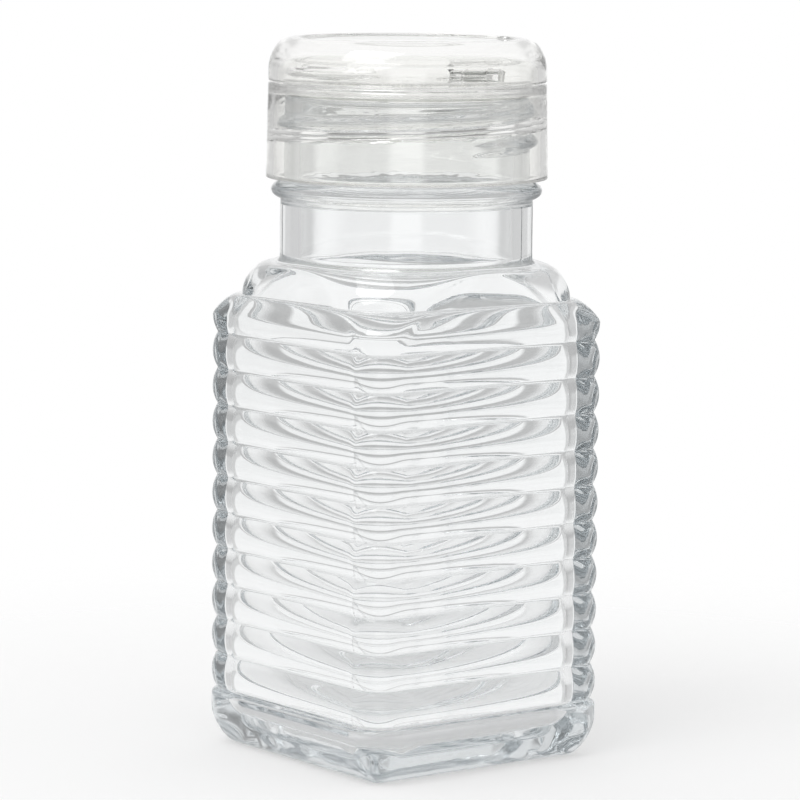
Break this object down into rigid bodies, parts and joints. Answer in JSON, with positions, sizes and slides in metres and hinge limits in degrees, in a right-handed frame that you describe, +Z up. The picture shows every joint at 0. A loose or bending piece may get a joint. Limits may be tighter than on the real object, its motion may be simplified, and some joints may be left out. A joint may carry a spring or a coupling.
{
  "type": "salt shaker jar",
  "caption": "Small square ribbed glass shaker jar with a clear screw cap, a perforated deck and a hinged flip lid, for salt or spice at the table.",
  "frame": {"origin": "middle of the foot, on the surface that the jar stands on", "axes": "+Z up along the neck and the cap; the glass's flat sides face along X and Y, and -Y is the jar's front"},
  "size_m": [0.0424, 0.0424, 0.1028],
  "materials": {
    "glass": "clear pressed soda-lime glass",
    "seal": "soft milky silicone",
    "cap_plastic": "clear polystyrene, moulded gloss",
    "lid_plastic": "clear polystyrene, moulded gloss",
    "steel": "drawn stainless wire"
  },
  "bodies": {
    "jar": {"glass_jar": "glass"},
    "seal": {"sealing_ring": "seal"},
    "cap": {"screw_cap": "cap_plastic", "hinge_pin": "steel"},
    "lid": {"flip_lid": "lid_plastic"}
  },
  "joints": [
    {"name": "cap_lift", "type": "slide", "parent": "jar", "child": "seal", "axis": [0, 0, 1], "range_m": [0, 0.0127]},
    {"name": "cap_turn", "type": "hinge", "parent": "seal", "child": "cap", "pos_m": [0, 0, 0.09], "axis": [0, 0, 1], "range_deg": [0, 1080]},
    {"name": "lid_flip", "type": "hinge", "parent": "cap", "child": "lid", "pos_m": [-0.0059, 0.01817, 0.0985], "axis": [-0.9511, -0.309, 0], "range_deg": [0, 110]}
  ],
  "couplings": [
    {"joint": "cap_lift", "follows": "cap_turn", "m_per_rad": 0.00067323}
  ]
}
